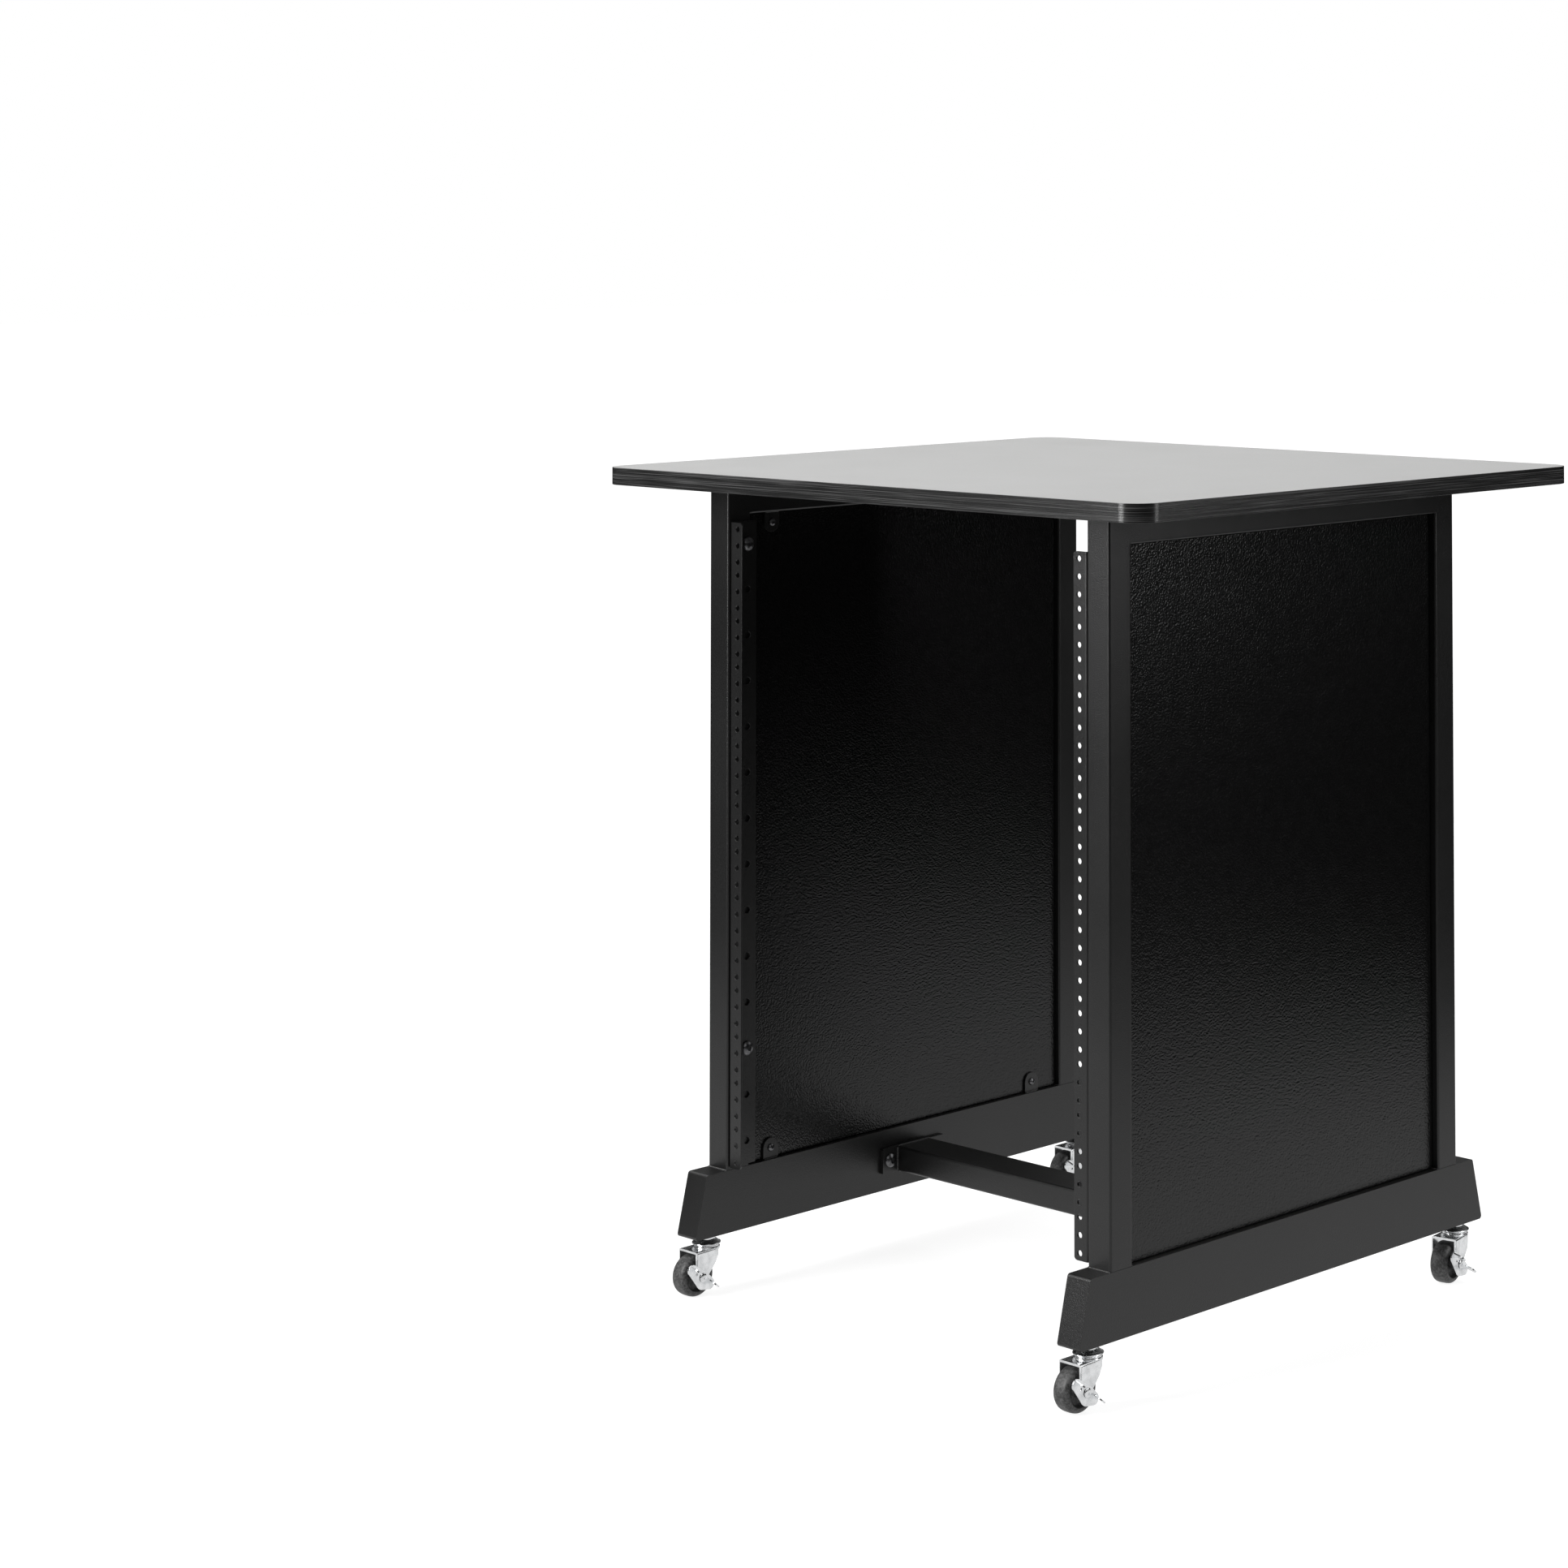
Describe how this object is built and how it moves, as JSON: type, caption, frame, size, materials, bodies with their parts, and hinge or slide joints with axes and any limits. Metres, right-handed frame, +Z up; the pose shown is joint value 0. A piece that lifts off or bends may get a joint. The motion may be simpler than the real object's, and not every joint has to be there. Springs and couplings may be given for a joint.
{
  "type": "studio equipment rack",
  "caption": "Open rack desk for 19-inch equipment: laminated wooden top, black steel side frames with wooden panels, perforated front rails, a cross bar and swivel casters with rocker brakes.",
  "frame": {"origin": "on the floor, under the middle of the table top", "axes": "+X to the right seen from the front, +Y to the back, +Z up"},
  "size_m": [0.73, 0.618, 0.7923],
  "materials": {
    "grey_laminate": "satin",
    "black_laminate": "matte",
    "black_steel": "satin",
    "black_screw": "satin",
    "zinc": "polished",
    "black_rubber": "matte"
  },
  "bodies": {
    "root": {"table_top": "grey_laminate", "left_front_table_screw": "black_screw", "left_rear_table_screw": "black_screw", "right_front_table_screw": "black_screw", "right_rear_table_screw": "black_screw", "left_front_post": "black_steel", "left_rear_post": "black_steel", "right_front_post": "black_steel", "right_rear_post": "black_steel", "left_top_rail": "black_steel", "right_top_rail": "black_steel", "left_foot_beam": "black_steel", "right_foot_beam": "black_steel", "left_side_panel": "black_laminate", "right_side_panel": "black_laminate", "left_front_upper_panel_screw": "black_screw", "left_front_lower_panel_screw": "black_screw", "left_rear_upper_panel_screw": "black_screw", "left_rear_lower_panel_screw": "black_screw", "right_front_upper_panel_screw": "black_screw", "right_front_lower_panel_screw": "black_screw", "right_rear_upper_panel_screw": "black_screw", "right_rear_lower_panel_screw": "black_screw", "left_rack_rail": "black_steel", "right_rack_rail": "black_steel", "left_lower_rail_bolt": "black_screw", "left_upper_rail_bolt": "black_screw", "right_lower_rail_bolt": "black_screw", "right_upper_rail_bolt": "black_screw", "cross_bar": "black_steel", "left_bar_plate": "black_steel", "right_bar_plate": "black_steel", "left_front_bar_bolt": "black_screw", "left_rear_bar_bolt": "black_screw", "right_front_bar_bolt": "black_screw", "right_rear_bar_bolt": "black_screw", "front_left_caster_stem": "zinc", "front_right_caster_stem": "zinc", "rear_left_caster_stem": "zinc", "rear_right_caster_stem": "zinc", "front_left_swivel_cap": "zinc", "front_right_swivel_cap": "zinc", "rear_left_swivel_cap": "zinc", "rear_right_swivel_cap": "zinc"},
    "front_left_fork": {"front_left_caster_fork": "zinc", "front_left_caster_axle": "zinc"},
    "front_left_wheel": {"front_left_caster_wheel": "black_rubber"},
    "front_left_lever": {"front_left_brake_lever": "zinc"},
    "front_right_fork": {"front_right_caster_fork": "zinc", "front_right_caster_axle": "zinc"},
    "front_right_wheel": {"front_right_caster_wheel": "black_rubber"},
    "front_right_lever": {"front_right_brake_lever": "zinc"},
    "rear_left_fork": {"rear_left_caster_fork": "zinc", "rear_left_caster_axle": "zinc"},
    "rear_left_wheel": {"rear_left_caster_wheel": "black_rubber"},
    "rear_left_lever": {"rear_left_brake_lever": "zinc"},
    "rear_right_fork": {"rear_right_caster_fork": "zinc", "rear_right_caster_axle": "zinc"},
    "rear_right_wheel": {"rear_right_caster_wheel": "black_rubber"},
    "rear_right_lever": {"rear_right_brake_lever": "zinc"}
  },
  "joints": [
    {"name": "front_left_swivel", "type": "hinge", "parent": "root", "child": "front_left_fork", "pos_m": [-0.258, -0.263, 0.043], "axis": [0, 0, 1], "continuous": true},
    {"name": "front_left_roll", "type": "hinge", "parent": "front_left_fork", "child": "front_left_wheel", "pos_m": [-0.258, -0.28, 0.01983], "axis": [1, 0, 0], "continuous": true},
    {"name": "front_left_brake", "type": "hinge", "parent": "front_left_fork", "child": "front_left_lever", "pos_m": [-0.258, -0.28, 0.01983], "axis": [1, 0, 0], "range_deg": [0, 28]},
    {"name": "front_right_swivel", "type": "hinge", "parent": "root", "child": "front_right_fork", "pos_m": [0.258, -0.263, 0.043], "axis": [0, 0, 1], "continuous": true},
    {"name": "front_right_roll", "type": "hinge", "parent": "front_right_fork", "child": "front_right_wheel", "pos_m": [0.258, -0.28, 0.01983], "axis": [1, 0, 0], "continuous": true},
    {"name": "front_right_brake", "type": "hinge", "parent": "front_right_fork", "child": "front_right_lever", "pos_m": [0.258, -0.28, 0.01983], "axis": [1, 0, 0], "range_deg": [0, 28]},
    {"name": "rear_left_swivel", "type": "hinge", "parent": "root", "child": "rear_left_fork", "pos_m": [-0.258, 0.249, 0.043], "axis": [0, 0, 1], "continuous": true},
    {"name": "rear_left_roll", "type": "hinge", "parent": "rear_left_fork", "child": "rear_left_wheel", "pos_m": [-0.258, 0.232, 0.01983], "axis": [1, 0, 0], "continuous": true},
    {"name": "rear_left_brake", "type": "hinge", "parent": "rear_left_fork", "child": "rear_left_lever", "pos_m": [-0.258, 0.232, 0.01983], "axis": [1, 0, 0], "range_deg": [0, 28]},
    {"name": "rear_right_swivel", "type": "hinge", "parent": "root", "child": "rear_right_fork", "pos_m": [0.258, 0.249, 0.043], "axis": [0, 0, 1], "continuous": true},
    {"name": "rear_right_roll", "type": "hinge", "parent": "rear_right_fork", "child": "rear_right_wheel", "pos_m": [0.26095, 0.23226, 0.01983], "axis": [0.9848, 0.1736, 0], "continuous": true},
    {"name": "rear_right_brake", "type": "hinge", "parent": "rear_right_fork", "child": "rear_right_lever", "pos_m": [0.26095, 0.23226, 0.01983], "axis": [0.9848, 0.1736, 0], "range_deg": [0, 28]}
  ]
}
